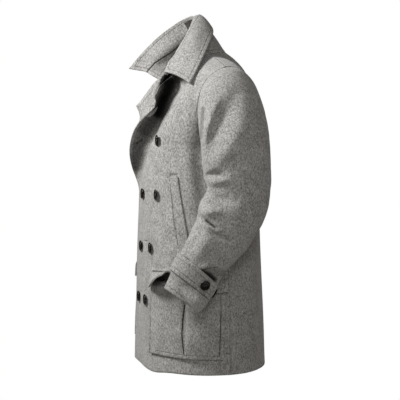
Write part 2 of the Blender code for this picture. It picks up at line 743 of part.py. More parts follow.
# ---------------------------------------------------------------- the jacket
def build():
    for old in list(bpy.data.objects):
        bpy.data.objects.remove(old, do_unlink=True)
    wool = {}

    def loden(name):
        wool[name] = material(name + "_loden", (0.30, 0.30, 0.29), 0.92)
        return wool[name]
    horn = material("button_horn", (0.02, 0.016, 0.014), 0.3)
    ribbon = material("label_ribbon", (0.03, 0.025, 0.022), 0.8)

    for side, word in ((1, "left"), (-1, "right")):
        turned_over = side < 0
        panel = front(side)
        width = LAPEL_COLUMNS + CHEST_COLUMNS
        shared = seams_facing(panel, side, width, range(LAPEL_COLUMNS, width + 1))
        cloth(word + "_front", panel, CLOTH, loden(word + "_front"), flip=turned_over, seams=shared)
        cloth(word + "_sleeve", sleeve(side), CLOTH, loden(word + "_sleeve"), closed=True, flip=not turned_over)
        cloth(word + "_pocket", pocket(side), CLOTH, loden(word + "_pocket"), flip=turned_over)
        cloth(word + "_flap", flap(side), FLAP_THICK, loden(word + "_flap"), flip=turned_over)
        cloth(word + "_welt", welt(side), WELT_THICK, loden(word + "_welt"), flip=turned_over)
        cloth(word + "_cuff_strap", strap(side), DOUBLED, loden(word + "_cuff_strap"), flip=turned_over)
        for number, (z, near, through) in enumerate(BUTTON_ROWS, start=1):
            arc = near if side > 0 else through
            out = SEAM_GAP * 1.5 + lap_out(side, arc)
            if side < 0 and number > 1:
                out = SEAM_GAP * 1.5 + lap_out(1, -arc)
            place = own(body(z, arc, out), side)
            axis = own(body_normal(z, arc), side)
            if number == 1:
                place, axis = lay_on(panel, place)
                place += axis * SEAM_GAP * 2
            button(f"{word}_front_button_{number}", place, axis, BUTTON_RADIUS, horn)
        on_strap = STRAP_GAP + DOUBLED + 0.0008
        for number, angle, out in ((1, 195.0, on_strap), (2, 254.0, 0.0002)):
            place, axis = cuff_button(side, angle, out)
            button(f"{word}_cuff_button_{number}", place, axis, CUFF_BUTTON_RADIUS, horn)

    rows = back()
    shared = seams_facing(rows, -1, 0, range(BACK_COLUMNS // 2 - NECK_COLUMNS + 1))
    shared.update(seams_facing(rows, 1, BACK_COLUMNS, range(BACK_COLUMNS // 2 + NECK_COLUMNS, BACK_COLUMNS + 1)))
    cloth("back", rows, CLOTH, loden("back"), flip=True, seams=shared)
    rows = collar()
    cloth("collar", rows, DOUBLED, loden("collar"))
    plate = []
    for a in range(4):
        line = []
        for b in range(4):
            place, normal = between(rows, LABEL_RISE[0] + (LABEL_RISE[1] - LABEL_RISE[0]) * a / 3,
                                    LABEL_SHARE[0] + (LABEL_SHARE[1] - LABEL_SHARE[0]) * b / 3)
            line.append(place - normal * (DOUBLED + SEAM_GAP * 2))
        plate.append(line)
    cloth("collar_label", plate, 0.0012, ribbon)


build()
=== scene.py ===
# %% [markdown]
# # A grey loden coat that keeps its wearer's shape
# The coat is sewn from thick, felted wool. Each sewn piece is a wall of cloth that already has its true
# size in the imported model. This lesson takes a copy of each wall, joins its triangles to squares, rounds
# them, presses the folds into the cloth, and then gives it its nap, its seams and its buttons.

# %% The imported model
import math

import bmesh
import bpy
import numpy as np
from mathutils import Matrix, Vector, noise
from mathutils.bvhtree import BVHTree
from mathutils.kdtree import KDTree


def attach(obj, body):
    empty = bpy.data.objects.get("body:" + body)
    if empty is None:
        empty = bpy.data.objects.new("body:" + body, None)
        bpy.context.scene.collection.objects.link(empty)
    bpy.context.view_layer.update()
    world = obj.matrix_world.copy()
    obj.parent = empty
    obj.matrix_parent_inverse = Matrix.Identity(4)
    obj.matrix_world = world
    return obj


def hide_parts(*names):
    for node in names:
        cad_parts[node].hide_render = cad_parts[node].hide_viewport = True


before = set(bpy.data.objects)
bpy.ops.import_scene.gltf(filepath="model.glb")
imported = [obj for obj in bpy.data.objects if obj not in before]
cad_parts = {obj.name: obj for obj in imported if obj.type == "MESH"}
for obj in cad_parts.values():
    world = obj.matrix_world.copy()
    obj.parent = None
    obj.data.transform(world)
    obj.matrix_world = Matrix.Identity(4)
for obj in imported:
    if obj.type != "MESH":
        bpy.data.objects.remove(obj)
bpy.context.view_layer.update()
MM = 0.001
print("nodes:", len(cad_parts))

# %% [markdown]
# ## The camera
# The picture was taken from the wearer's left and a little in front, from a few metres away with a long
# lens, so near and far edges keep almost the same scale. The camera stands level with the chest and
# looks down by under three degrees.

# %% Camera
CAMERA_TURN = math.radians(76.5)     # from straight ahead towards the wearer's left
CAMERA_AWAY = 2.6
CAMERA_LEVEL = -0.265
CAMERA_PITCH = math.radians(2.8)
LENS_MM, SENSOR_MM = 86.58, 36.0

camera = bpy.data.objects.new("camera", bpy.data.cameras.new("camera"))
camera.data.sensor_width = SENSOR_MM
camera.data.lens = LENS_MM
camera.location = (CAMERA_AWAY * math.sin(CAMERA_TURN), -CAMERA_AWAY * math.cos(CAMERA_TURN), CAMERA_LEVEL)
camera.rotation_euler = (math.pi / 2 - CAMERA_PITCH, 0, CAMERA_TURN)
bpy.context.scene.collection.objects.link(camera)
bpy.context.scene.camera = camera
print("camera at", [round(v, 2) for v in camera.location])

# %% [markdown]
# ## Measuring in the picture
# Folds, seams and creases are easiest to read straight off the picture, so lines further down are given
# as columns and rows of a picture of 400 by 400 points, where a point is about 2.7 mm of the coat. The
# two helpers go both ways: from a place on the coat to its picture point, and from a picture point along
# the camera's ray to the cloth. The coat's other side uses the mirror image of the same camera.

# %% Picture points and rays
PICTURE = 400
FOCUS = LENS_MM / SENSOR_MM * PICTURE
CAMERA_AXES = np.array(camera.rotation_euler.to_matrix())
CAMERA_PLACE = np.array(camera.location)


def in_picture(points):
    """Columns and rows at which the camera sees points."""
    seen = (points - CAMERA_PLACE) @ CAMERA_AXES
    return np.stack([PICTURE / 2 - FOCUS * seen[:, 0] / seen[:, 2],
                     PICTURE / 2 + FOCUS * seen[:, 1] / seen[:, 2]], axis=1)


def ray_through(column, row):
    """The direction of the camera's ray through a picture point."""
    way = CAMERA_AXES @ np.array([(column - PICTURE / 2) / FOCUS, (PICTURE / 2 - row) / FOCUS, -1.0])
    return Vector(way).normalized()


print("picture point of the neck:", in_picture(np.zeros((1, 3))).round(1))

# %% [markdown]
# ## The light
# A soft lamp stands in front of the wearer, well above the chest and quite close, so the hem gets less
# light than the collar. It lights the chest fully, grazes the sleeve so that its folds show, and leaves
# the back and the hollows dark. A weak lamp at the wearer's left lifts the shadows on the sleeve. The
# room itself gives very little light, and is seen as plain white behind the coat.

# %% Lights, room and floor
COAT_MIDDLE = Vector((0.1, -0.05, -0.35))
SLEEVE_MIDDLE = Vector((0.15, 0, -0.1))
ROOM_GLOW = 0.16                     # light from the room, next to 1.0 for the white that is seen
FLOOR_LEVEL = -1.50                  # a standing wearer's feet
FLOOR_RADIUS = 1.6


def area_light(name, place, target, size, power):
    """A square lamp at a place, aimed at a target; size in metres, power in watts."""
    lamp = bpy.data.objects.new(name, bpy.data.lights.new(name, 'AREA'))
    lamp.data.shape = 'SQUARE'
    lamp.data.size = size
    lamp.data.energy = power
    lamp.location = place
    lamp.rotation_euler = (Vector(target) - Vector(place)).to_track_quat('-Z', 'Y').to_euler()
    bpy.context.scene.collection.objects.link(lamp)


def lamp_place(turn, rise, away):
    """A place round the coat: degrees from straight ahead to its left, degrees up, metres away."""
    turn, rise = math.radians(turn), math.radians(rise)
    return COAT_MIDDLE + away * Vector((math.sin(turn) * math.cos(rise), -math.cos(turn) * math.cos(rise),
                                        math.sin(rise)))


area_light("key", lamp_place(2, 40, 1.6), COAT_MIDDLE, 0.45, 36)
area_light("fill", lamp_place(84, 20, 1.9), SLEEVE_MIDDLE, 0.6, 9.0)


def add_node(tree, kind, settings=None, links=None):
    """Adds a node, sets its sockets and properties, and links its inputs."""
    node = tree.nodes.new(kind)
    for key, value in (settings or {}).items():
        if isinstance(key, int) or key in node.inputs:
            node.inputs[key].default_value = value
        else:
            setattr(node, key, value)
    for key, source in (links or {}).items():
        tree.links.new(source, node.inputs[key])
    return node


def srgb(code):
    """A linear colour from an sRGB hex value."""
    parts = [int(code[i:i + 2], 16) / 255 for i in (1, 3, 5)]
    return [c / 12.92 if c <= 0.04045 else ((c + 0.055) / 1.055) ** 2.4 for c in parts] + [1.0]


def new_material(name, roughness):
    """A material with its node tree, its shader and the object's own coordinates."""
    made = bpy.data.materials.new(name)
    made.use_nodes = True
    tree = made.node_tree
    shader = tree.nodes["Principled BSDF"]
    shader.inputs["Roughness"].default_value = roughness
    return made, tree, shader, add_node(tree, "ShaderNodeTexCoord").outputs["Object"]


room = bpy.data.worlds.new("room")
bpy.context.scene.world = room
room.use_nodes = True
tree = room.node_tree
tree.nodes.clear()
seen = add_node(tree, "ShaderNodeBackground", {"Color": (1, 1, 1, 1), "Strength": 1.0})
glow = add_node(tree, "ShaderNodeBackground", {"Color": srgb("#fff6ee"), "Strength": ROOM_GLOW})
ray = add_node(tree, "ShaderNodeLightPath")
both = add_node(tree, "ShaderNodeMixShader", {},
                {0: ray.outputs["Is Camera Ray"], 1: glow.outputs[0], 2: seen.outputs[0]})
add_node(tree, "ShaderNodeOutputWorld", {}, {"Surface": both.outputs[0]})
bpy.context.scene.view_settings.view_transform = 'Standard'

bm = bmesh.new()
bmesh.ops.create_circle(bm, cap_ends=True, segments=96, radius=FLOOR_RADIUS)
bmesh.ops.translate(bm, verts=bm.verts, vec=(0, 0, FLOOR_LEVEL))
floor = bpy.data.objects.new("floor", bpy.data.meshes.new("floor"))
bm.to_mesh(floor.data)
bm.free()
bpy.context.scene.collection.objects.link(floor)
# rolled emulsion paint: almost even, with faint clouds of 250 mm and the roller's orange-peel of 2.5 mm
painted, tree, paint, where = new_material("pale_floor_rolled_paint", 0.7)
cloud = add_node(tree, "ShaderNodeTexNoise", {"Scale": 1 / (250 * MM), "Detail": 3.0}, {"Vector": where})
peel = add_node(tree, "ShaderNodeTexNoise", {"Scale": 1 / (2.5 * MM), "Detail": 1.0}, {"Vector": where})
tone = add_node(tree, "ShaderNodeMix", {"data_type": 'RGBA', 6: srgb("#e4e3df"), 7: srgb("#edece9")},
                {0: cloud.outputs["Fac"]})
tree.links.new(tone.outputs[2], paint.inputs["Base Color"])
rolled = add_node(tree, "ShaderNodeBump", {"Strength": 0.2, "Distance": 0.6 * MM},
                  {"Height": peel.outputs["Fac"]})
tree.links.new(rolled.outputs[0], paint.inputs["Normal"])
floor.data.materials.append(painted)
print("floor at", FLOOR_LEVEL)

# %% [markdown]
# ## Loden
# Loden is wool that was woven, then shrunk until the threads closed to a felt, and brushed. The eye gets
# no weave, only a soft grey made of light and dark fibres lying mostly down the cloth, a matt surface
# and a faint bright nap where the cloth turns away. Real fibres are far finer than a pixel here, so the
# flecks are drawn two to six millimetres long, as coarse as they need to be to show.

# %% Loden material
LODEN_LIGHT = "#b9b8b5"
LODEN_MID = "#91908d"
LODEN_DARK = "#5f5d5a"
FLECKS_PER_METRE = 560               # 1.8 mm each
TUFTS_PER_METRE = 290                # 3.4 mm each
CLOUDS_PER_METRE = 38                # 26 mm each
LYING = 0.62                         # fibres lie down the cloth: a fleck's width next to its length
NAP_HEIGHT = 1.2 * MM
SHEEN, SHINE = 0.22, 0.15
# painted shade: the colour is multiplied down to this where the hollows' painted shade is full
PAINTED_SHADE_TONE = 0.02                   # what is left of the colour in the deepest hollow


def distance_band(tree, name, at, half):
    """0 on the line where an attribute equals at, rising to 1 half a width away."""
    value = add_node(tree, "ShaderNodeAttribute", {"attribute_name": name}).outputs["Fac"]
    off = add_node(tree, "ShaderNodeMath", {"operation": 'SUBTRACT', 1: at}, {0: value})
    away = add_node(tree, "ShaderNodeMath", {"operation": 'ABSOLUTE'}, {0: off.outputs[0]})
    return add_node(tree, "ShaderNodeMapRange", {"interpolation_type": 'SMOOTHSTEP', "From Max": half},
                    {"Value": away.outputs[0]}).outputs[0]


def loden(name, lines=()):
    """Heather-grey felted wool; a line is (attribute, distance, half width, darkness, depth) of a groove."""
    made, tree, shader, where = new_material(name, 0.95)
    shader.inputs["Sheen Roughness"].default_value = 0.5
    lying = add_node(tree, "ShaderNodeMapping", {"Scale": (1, 1, LYING)}, {"Vector": where})
    fleck = add_node(tree, "ShaderNodeTexNoise", {"Scale": FLECKS_PER_METRE, "Detail": 2.0, "Roughness": 0.6},
                     {"Vector": lying.outputs[0]})
    tuft = add_node(tree, "ShaderNodeTexNoise", {"Scale": TUFTS_PER_METRE, "Detail": 3.0, "Roughness": 0.65},
                    {"Vector": lying.outputs[0]})
    cloud = add_node(tree, "ShaderNodeTexNoise", {"Scale": CLOUDS_PER_METRE, "Detail": 2.0, "Roughness": 0.5},
                     {"Vector": where})
    blend = add_node(tree, "ShaderNodeMath", {"operation": 'MULTIPLY_ADD', 1: 0.62},
                     {0: fleck.outputs["Fac"], 2: tuft.outputs["Fac"]})
    mixed = add_node(tree, "ShaderNodeMath", {"operation": 'MULTIPLY_ADD', 1: 0.20},
                     {0: cloud.outputs["Fac"], 2: blend.outputs[0]})
    level = add_node(tree, "ShaderNodeMath", {"operation": 'MULTIPLY', 1: 0.55}, {0: mixed.outputs[0]})
    fibres = add_node(tree, "ShaderNodeValToRGB", {}, {"Fac": level.outputs[0]})
    tones = fibres.color_ramp.elements
    tones[0].position, tones[0].color = 0.37, srgb(LODEN_DARK)
    tones[1].position, tones[1].color = 0.63, srgb(LODEN_LIGHT)
    tones.new(0.5).color = srgb(LODEN_MID)
    colour = fibres.outputs["Color"]
    nap = add_node(tree, "ShaderNodeBump", {"Strength": 0.55, "Distance": NAP_HEIGHT},
                   {"Height": blend.outputs[0]})
    for attribute, at, half, darkness, depth in lines:
        band = distance_band(tree, attribute, at, half)
        keep = add_node(tree, "ShaderNodeMapRange", {"To Min": darkness}, {"Value": band})
        colour = add_node(tree, "ShaderNodeMix",
                          {"data_type": 'RGBA', "blend_type": 'MULTIPLY', "Factor": 1.0},
                          {6: colour, 7: keep.outputs[0]}).outputs[2]
        nap = add_node(tree, "ShaderNodeBump", {"Strength": 1.0, "Distance": depth},
                       {"Height": band, "Normal": nap.outputs[0]})
    # painted shade: in the hollows the wool's colour is multiplied almost to black, and its sheen and shine
    # are taken away, as if no light reached them
    painted_shade_node = add_node(tree, "ShaderNodeAttribute", {"attribute_name": "painted_shade"})
    shade_keep = add_node(tree, "ShaderNodeMapRange", {"To Min": 1.0, "To Max": PAINTED_SHADE_TONE},
                      {"Value": painted_shade_node.outputs["Fac"]})
    darker = add_node(tree, "ShaderNodeMix", {"data_type": 'RGBA', "blend_type": 'MULTIPLY', "Factor": 1.0},
                      {6: colour, 7: shade_keep.outputs[0]})
    for socket, most in (("Sheen Weight", SHEEN), ("Specular IOR Level", SHINE)):
        fading = add_node(tree, "ShaderNodeMapRange", {"To Min": most, "To Max": 0.0},
                          {"Value": painted_shade_node.outputs["Fac"]})
        tree.links.new(fading.outputs[0], shader.inputs[socket])
    tree.links.new(darker.outputs[2], shader.inputs["Base Color"])
    tree.links.new(nap.outputs[0], shader.inputs["Normal"])
    return made


# a groove: the attribute that holds the distance from it, how far away it lies, half its width, how much
# of the colour is left in it, and how deep it is
STITCH_LINE = ("edge", 9.5 * MM, 1.6 * MM, 0.78, 1.2 * MM)
ROW_LINE = ("row", 0.0, 3.8 * MM, 0.35, 1.2 * MM)
SEAM_LINE = ("seam", 0.0, 1.9 * MM, 0.16, 1.5 * MM)
# painted shade: slits, creases and the gaps at the straps' edges keep only 3 % of their colour, for the shade
# inside them
SLIT_LINE = ("slit", 0.0, 3.2 * MM, 0.03, 1.2 * MM)
WOOL = loden("loden_felted", (STITCH_LINE, ROW_LINE, SEAM_LINE, SLIT_LINE))
print("material:", WOOL.name)

# %% [markdown]
# ## From a solid's triangles to soft cloth
# Felted wool has no sharp facets. Each copied wall is welded, its triangles are joined back to squares,
# and a subdivision surface rounds it. The cut edge, three millimetres thick and five where the cloth is
# doubled, stays fairly crisp because its edges are creased. Every point then learns how far it is from a
# cut edge, which places the rows of stitching.

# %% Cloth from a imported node
CUT_EDGE_ANGLE = math.radians(50)    # walls turn more sharply than this at their cut edge
CUT_EDGE_CREASE = 0.55
RIM_STEP = 2 * MM


def soft_wall(node, levels):
    """A rounded copy of a node's wall, and points along its cut edges."""
    bm = bmesh.new()
    bm.from_mesh(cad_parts[node].data)
    bmesh.ops.remove_doubles(bm, verts=bm.verts, dist=0.00001)
    bmesh.ops.join_triangles(bm, faces=bm.faces, angle_face_threshold=math.radians(35),
                             angle_shape_threshold=math.radians(70))
    crease = bm.edges.layers.float.new("crease_edge")
    rim = []
    for edge in bm.edges:
        if len(edge.link_faces) == 2 and edge.calc_face_angle(0) > CUT_EDGE_ANGLE:
            edge[crease] = CUT_EDGE_CREASE
            a, b = edge.verts[0].co, edge.verts[1].co
            steps = max(1, int((b - a).length / RIM_STEP))
            rim += [a.lerp(b, k / steps) for k in range(steps + 1)]
    rough = bpy.data.meshes.new(node + "_rough")
    bm.to_mesh(rough)
    bm.free()
    piece = bpy.data.objects.new(node + "_cloth", rough)
    bpy.context.scene.collection.objects.link(piece)
    rounder = piece.modifiers.new("Round", 'SUBSURF')
    rounder.levels = rounder.render_levels = levels
    rounder.use_limit_surface = False
    ready = piece.evaluated_get(bpy.context.evaluated_depsgraph_get())
    piece.data = bpy.data.meshes.new_from_object(ready)
    piece.modifiers.clear()
    piece.data.name = node + "_cloth"
    bpy.data.meshes.remove(rough)
    return piece, rim


def points_of(mesh, kind="co"):
    """Every point's place, or with kind "normal" the way it faces."""
    flat = np.empty(len(mesh.vertices) * 3)
    mesh.vertices.foreach_get(kind, flat)
    return flat.reshape(-1, 3)


def move_to(piece, points):
    """Puts a piece's points at new places."""
    piece.data.vertices.foreach_set("co", points.ravel())
    piece.data.update()


def ramp(values, start, end):
    """0 up to start and 1 from end on; end may lie below start."""
    return np.clip((values - start) / (end - start), 0, 1)


def finish_mesh(piece):
    """Smooth shading, and the wool on the whole piece."""
    piece.data.shade_smooth()
    piece.data.materials.clear()
    piece.data.materials.append(WOOL)


def store_distance(piece, name, line):
    """Stores each point's distance from the nearest of a line's points."""
    tree = KDTree(max(len(line), 1))
    for i, place in enumerate(line or [Vector((9, 9, 9))]):
        tree.insert(place, i)
    tree.balance()
    far = piece.data.attributes.new(name, 'FLOAT', 'POINT')
    far.data.foreach_set("value", [tree.find(v.co)[2] for v in piece.data.vertices])


def mark_lines(piece, rim, stitched=None, seam=(), slit=(), rows=(), painted_shade=None):
    """Places stitches along cut edges, seams, open slits with their painted shade, further rows of stitches,
    and the painted shade of the hollows.
    """
    if painted_shade is None:
        painted_shade = np.zeros(len(piece.data.vertices))
    piece.data.attributes.new("painted_shade", 'FLOAT', 'POINT').data.foreach_set("value", painted_shade)
    store_distance(piece, "edge", [p for p in rim if stitched is None or stitched(p)])
    store_distance(piece, "seam", seam)
    store_distance(piece, "slit", slit)
    store_distance(piece, "row", rows)


# %% [markdown]
# ## Folds
# A fold is a ridge or a trough that runs along a line. It could be made by letting a simulated cloth
# fall on the wearer, but there is no wearer here. So the lines were read off the picture, and each one
# pushes the cloth out or in sideways, most along its middle and less with distance, so both faces of the
# wall move together. The light comes from the front, so in the picture the side of a ridge that faces
# forward is bright and the other side is dark.

# %% Folds as lines in the picture
BODY_HALF_WIDTH, BODY_HALF_DEPTH = 0.25, 0.165


def along_line(seen, line):
    """Each picture point's distance from a line, and where along it the nearest place is, 0 to 1."""
    line = np.array(line, float)
    lengths = np.linalg.norm(np.diff(line, axis=0), axis=1)
    near = np.full(len(seen), 1e9)
    along = np.zeros(len(seen))
    for k, (a, b) in enumerate(zip(line, line[1:])):
        part = np.clip(((seen - a) @ (b - a)) / lengths[k] ** 2, 0, 1)
        away = np.linalg.norm(seen - (a + part[:, None] * (b - a)), axis=1)
        closer = away < near
        near[closer] = away[closer]
        along[closer] = ((lengths[:k].sum() + part * lengths[k]) / lengths.sum())[closer]
    return near, along


def relief(points, folds, side, reach):
    """Pushes points sideways along folds: a line, its half width in picture points, its height in mm."""
    seen = in_picture(points * np.array([side, 1, 1]))
    push = np.zeros(len(points))
    for line, half, height in folds:
        near, along = along_line(seen, line)
        fade = np.sin(np.pi * (0.1 + 0.8 * along)) ** 0.8       # lower towards both ends
        push += height * MM * fade * np.exp(-(near / half) ** 2)
    points[:, 0] += side * push * reach


def shade_of(piece, shades):
    """How much painted shade each point of a piece gets from lines of the picture, 0 to 1, on the faces that
    look at the camera.
    """
    points = points_of(piece.data)
    facing = ((CAMERA_PLACE - points) * points_of(piece.data, "normal")).sum(axis=1) / CAMERA_AWAY
    seen = in_picture(points)
    painted_shade = np.zeros(len(seen))
    for line, half, most in shades:
        near, _ = along_line(seen, line)
        painted_shade = np.maximum(painted_shade, most * np.exp(-(near / half) ** 4))
    return painted_shade * ramp(facing, -0.35, 0)


def laid_on(piece, line, side=1, spacing=0.4):
    """Places on a piece under a line of the picture."""
    mesh = piece.data
    tree = BVHTree.FromPolygons([v.co for v in mesh.vertices], [tuple(p.vertices) for p in mesh.polygons])
    mirror = Vector((side, 1, 1))
    found = []
    for (ca, ra), (cb, rb) in zip(line, line[1:]):
        steps = max(2, int(math.hypot(cb - ca, rb - ra) / spacing))
        for k in range(steps + 1):
            way = ray_through(ca + (cb - ca) * k / steps, ra + (rb - ra) * k / steps) * mirror
            hit = tree.ray_cast(Vector(CAMERA_PLACE) * mirror, way)[0]
            if hit is not None:
                found.append(hit)
    return found


def body_outward(points):
    """The level direction away from the body's middle, as if the body were an oval."""
    way = np.stack([points[:, 0] / BODY_HALF_WIDTH ** 2, points[:, 1] / BODY_HALF_DEPTH ** 2,
                    np.zeros(len(points))], axis=1)
    return way / np.maximum(np.linalg.norm(way, axis=1), 1e-6)[:, None]


# sleeve's middle line: x, y, z
LEFT_ARM = ((0.235, 0.015, -0.110), (0.275, 0.018, -0.200), (0.292, 0.019, -0.268),
            (0.299, 0.021, -0.315), (0.304, 0.022, -0.360), (0.308, 0.010, -0.404),
            (0.310, -0.012, -0.447), (0.308, -0.040, -0.487), (0.305, -0.069, -0.528),
            (0.298, -0.090, -0.572), (0.285, -0.117, -0.617), (0.280, -0.130, -0.650))
RIGHT_ARM = ((-0.235, 0.015, -0.110), (-0.275, 0.015, -0.200), (-0.292, 0.015, -0.268),
             (-0.299, 0.020, -0.315), (-0.306, 0.022, -0.365), (-0.312, 0.019, -0.415),
             (-0.318, 0.010, -0.465), (-0.322, -0.002, -0.515), (-0.323, -0.014, -0.565),
             (-0.321, -0.026, -0.615), (-0.317, -0.038, -0.665), (-0.315, -0.045, -0.70))


def arm_outward(points, arm):
    """The direction away from a sleeve's middle line, and the way to it in metres."""
    line = np.array(arm)
    dense = np.concatenate([np.linspace(a, b, 12) for a, b in zip(line, line[1:])])
    way = np.empty_like(points)
    batch = 4000                     # keeps the table of gaps small
    for start in range(0, len(points), batch):
        part = points[start:start + batch]
        gap = np.linalg.norm(part[:, None, :] - dense[None], axis=2)
        way[start:start + batch] = part - dense[gap.argmin(axis=1)]
    return way / np.maximum(np.linalg.norm(way, axis=1), 1e-6)[:, None], way


def unevenness(points, size, height, seed):
    """Gentle lumps of a given size, the same at both faces of a wall."""
    return np.array([noise.noise((Vector(p) + Vector((seed, seed, seed))) / size) for p in points]) * height


print("fold helpers ready")

# %% [markdown]
# ## The sleeves
# The left arm is bent, so cloth gathers inside the elbow: one long slanting trough runs from the upper
# arm to the front edge, with a full ridge below it, and shorter folds stack up under it. Above the strap
# the forearm billows out. The other sleeve hangs nearly straight and gets two quiet folds.

# %% Sleeves
# line in the picture, half width in picture points, height in mm: + is a ridge, - a trough
LEFT_SLEEVE_FOLDS = (
    (((217, 98), (209.5, 114), (206, 126), (204, 139), (203, 152)), 5.0, 13.0),
    (((236, 96), (229, 109), (222, 122), (216, 134), (210, 147)), 8.0, -16.0),
    (((246, 120), (235, 138), (226, 151), (217, 160), (206, 166)), 9.0, 9.0),
    (((201, 178), (209, 175.5), (216, 174.5), (226, 177)), 3.6, -15.0),
    (((203, 185), (212, 183.5), (220, 181), (228, 177)), 4.4, 10.0),
    (((206, 193), (214, 197), (222, 199), (233, 201)), 6.0, -12.0),
    (((199, 210), (208, 212), (217, 211)), 5.0, 15.0),
    (((201, 200), (209, 202.5), (217, 207)), 2.4, -10.0),
    (((202, 216.5), (208, 222), (216, 229)), 2.2, -11.0),
    (((206, 229), (215, 234), (229, 242)), 3.4, -12.0),
    (((210, 228), (204, 241), (197, 253), (190, 264)), 9.0, 9.0),
    (((197, 268.5), (208, 266), (220, 264.5)), 4.0, 7.0),
    (((200, 274.5), (208, 276.5), (216, 281)), 3.4, -12.0),
    (((176, 262), (186, 274), (197, 286), (208, 291)), 5.0, -3.5),
    (((172, 276), (181, 286), (191, 294)), 4.0, -9.0),
    (((192, 311), (200, 305), (207, 299)), 13.0, 24.0),
)
# in the mirror image of the picture, on the other side
RIGHT_SLEEVE_FOLDS = (
    (((207, 178), (220, 187), (232, 192), (244, 191)), 5.5, -7.0),
    (((205, 199), (216, 206), (226, 210)), 5.0, 6.0),
    (((207, 221), (217, 228), (229, 230)), 4.0, -6.0),
    (((224, 108), (215, 124), (209, 141)), 5.0, -10.0),
)
# row of the picture, and how far back the front of the left sleeve lies there, in mm
LEFT_SLEEVE_NOTCHES = ((180, 0), (187, 4), (193, 0), (200, -7), (206, -8), (213, -5), (222, -2), (232, 0))
ARMHOLE_LEVEL = -0.335               # above this the sleeve's own end is the armhole
# lumps in the sleeve's cloth: their size and height in metres, and where their noise starts
SLEEVE_LUMPS = ((0.055, 0.0022, 3.1), (0.022, 0.0008, 7.7))


def sleeve(node, arm, folds, side, levels):
    """A sleeve with its folds, and the points along its armhole end."""
    piece, rim = soft_wall(node, levels)
    points = points_of(piece.data)
    outward, way = arm_outward(points, arm)
    start = points.copy()
    reach = ramp(side * way[:, 0], -0.018, 0.012)      # folds lie on the sleeve's outer side
    relief(points, folds, side, reach * reach * (3 - 2 * reach))
    if side > 0:
        rows, backs = np.array(LEFT_SLEEVE_NOTCHES).T
        front = ramp(way[:, 1], -0.02, -0.06)
        points[:, 1] += np.interp(in_picture(start)[:, 1], rows, backs) * MM * front
    below_shoulder = ramp(start[:, 2], -0.09, -0.17)
    for lump in SLEEVE_LUMPS:
        points += outward * (unevenness(start, *lump) * below_shoulder)[:, None]
    move_to(piece, points)
    return piece, rim, [p for p in rim if p.z > ARMHOLE_LEVEL]


left_sleeve, left_rim, LEFT_ARMHOLE = sleeve("left_sleeve", LEFT_ARM, LEFT_SLEEVE_FOLDS, 1, 3)
right_sleeve, right_rim, RIGHT_ARMHOLE = sleeve("right_sleeve", RIGHT_ARM, RIGHT_SLEEVE_FOLDS, -1, 2)
LEFT_SLEEVE_CREASES = (((206, 220.5), (214.5, 227)), ((201.5, 273), (208, 275), (214, 279.5)),
                       ((199.5, 271.5), (207, 268.5), (218, 267)))
# painted shade of the hollows: middle line in the picture, half width, how dark
SLEEVE_SHADE = ((((202, 272), (208, 274.5), (214, 279.5)), 3.4, 0.8),
                (((207, 271.5), (216, 272), (224, 273)), 4.0, 0.35),
                (((206, 220.5), (214.5, 227)), 1.8, 0.6),
                (((203, 108), (202, 122), (200.5, 137)), 2.0, 0.4))
STITCHED_CUFF = -0.5                 # below this the sleeve's edge is the cuff, which is stitched
for piece, rim, sewn, creases in ((left_sleeve, left_rim, LEFT_ARMHOLE, LEFT_SLEEVE_CREASES),
                                  (right_sleeve, right_rim, RIGHT_ARMHOLE, ())):
    # painted shade: the gap in which the strap's edges meet the sleeve, and the sleeve's creases, are slits
    # coloured almost black
    strap, strap_rim = soft_wall(piece.name.replace("sleeve_cloth", "cuff_strap"), 0)
    bpy.data.objects.remove(strap)
    slits = strap_rim + [place for line in creases for place in laid_on(piece, line)]
    mark_lines(piece, rim, stitched=lambda p: p.z < STITCHED_CUFF, seam=sewn, slit=slits,
               painted_shade=shade_of(piece, SLEEVE_SHADE) if piece is left_sleeve else None)
    finish_mesh(piece)
print("sleeve points:", len(left_sleeve.data.vertices), len(right_sleeve.data.vertices))

# %% [markdown]
# ## The body
# Fronts and back hang from the shoulders. The fronts carry the lapels, so they are single pieces of
# cloth that roll over. Everything that is sewn onto a front moves with the same soft unevenness, so no
# pocket leaves its front.

# %% Moving the body's cloth
BODY_LUMP = (0.075, 0.0035, 5.3)     # size and height in metres, and where the noise starts
LUMP_STRETCH = np.array([1, 1, 0.45])    # lumps are about twice as long downwards


def body_shift(points):
    """How far the body's cloth moves at a point: long soft lumps, none near the neck and armholes."""
    return unevenness(points * LUMP_STRETCH, *BODY_LUMP) * ramp(points[:, 2], -0.20, -0.32)


def body_piece(node, levels, folds=(), side=1, shape=None):
    """A piece of the body, or one sewn on it, moved with the body's own unevenness."""
    piece, rim = soft_wall(node, levels)
    points = points_of(piece.data)
    outward, shift = body_outward(points), body_shift(points)
    if shape is not None:
        shape(points)
    relief(points, folds, side, ramp(side * points[:, 0], 0, 0.05))
    points += outward * shift[:, None]
    move_to(piece, points)
    return piece, rim


def lines_on(piece, side, *lines):
    """Places on a piece under several lines of the picture."""
    return [place for line in lines for place in laid_on(piece, line, side)]


def on_front_edge(p):
    """True for the long front edge and the lapel's edge; the hem is felled by hand, without stitches."""
    return abs(p.x) < 0.15 and p.y < -0.115 and p.z > -0.78


print("body helpers ready")

# %% [markdown]
# ## Where cloth meets cloth
# The left lapel stands off the chest, and the cloth behind it drops back into a deep, dark hollow under
# the collar's tip. The hollow is pressed straight back, most just under the collar. The real one is
# deeper than a single wall can follow, so its shade is painted into the cloth's colour, only on the faces
# that turn towards the camera; painted shade also lies under the left flap and on the right lapel's top.
# The cuff pushes the pocket's flap up, and the right lapel reaches up to the collar.

# %% Hollow, flap and far side
# level, and how far the cloth behind the lapel lies back there, in mm
HOLLOW = ((-0.30, 0), (-0.25, -3), (-0.22, -7), (-0.18, -5), (-0.145, 0), (-0.125, 9),
          (-0.104, 24), (-0.09, 28), (-0.074, 24), (-0.055, 8), (-0.04, 0))
